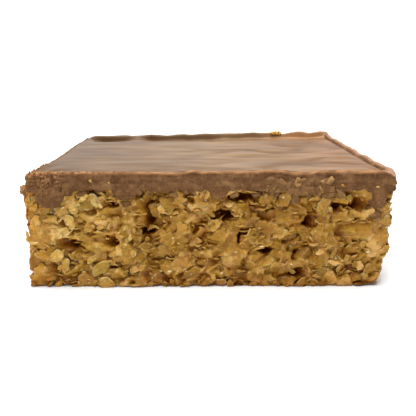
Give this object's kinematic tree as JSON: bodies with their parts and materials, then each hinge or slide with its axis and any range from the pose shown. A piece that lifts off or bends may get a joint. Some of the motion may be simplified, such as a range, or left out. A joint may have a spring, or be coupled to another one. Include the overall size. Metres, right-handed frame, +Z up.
{
  "type": "granola bar",
  "caption": "Rectangular slice of pressed oat granola bar with craggy cut sides under a poured milk chocolate layer with a raised rim.",
  "frame": {"origin": "middle of the underside, on the surface that the slice lies on", "axes": "+Z up through the slice, -Y out of the front cut face, X along the slice's length"},
  "size_m": [0.09, 0.0723, 0.0306],
  "materials": {
    "oats": "sticky satin, honey-glazed rolled oats",
    "milk_chocolate": "satin milk chocolate"
  },
  "bodies": {
    "root": {"oat_base": "oats", "chocolate_top": "milk_chocolate"}
  },
  "joints": []
}
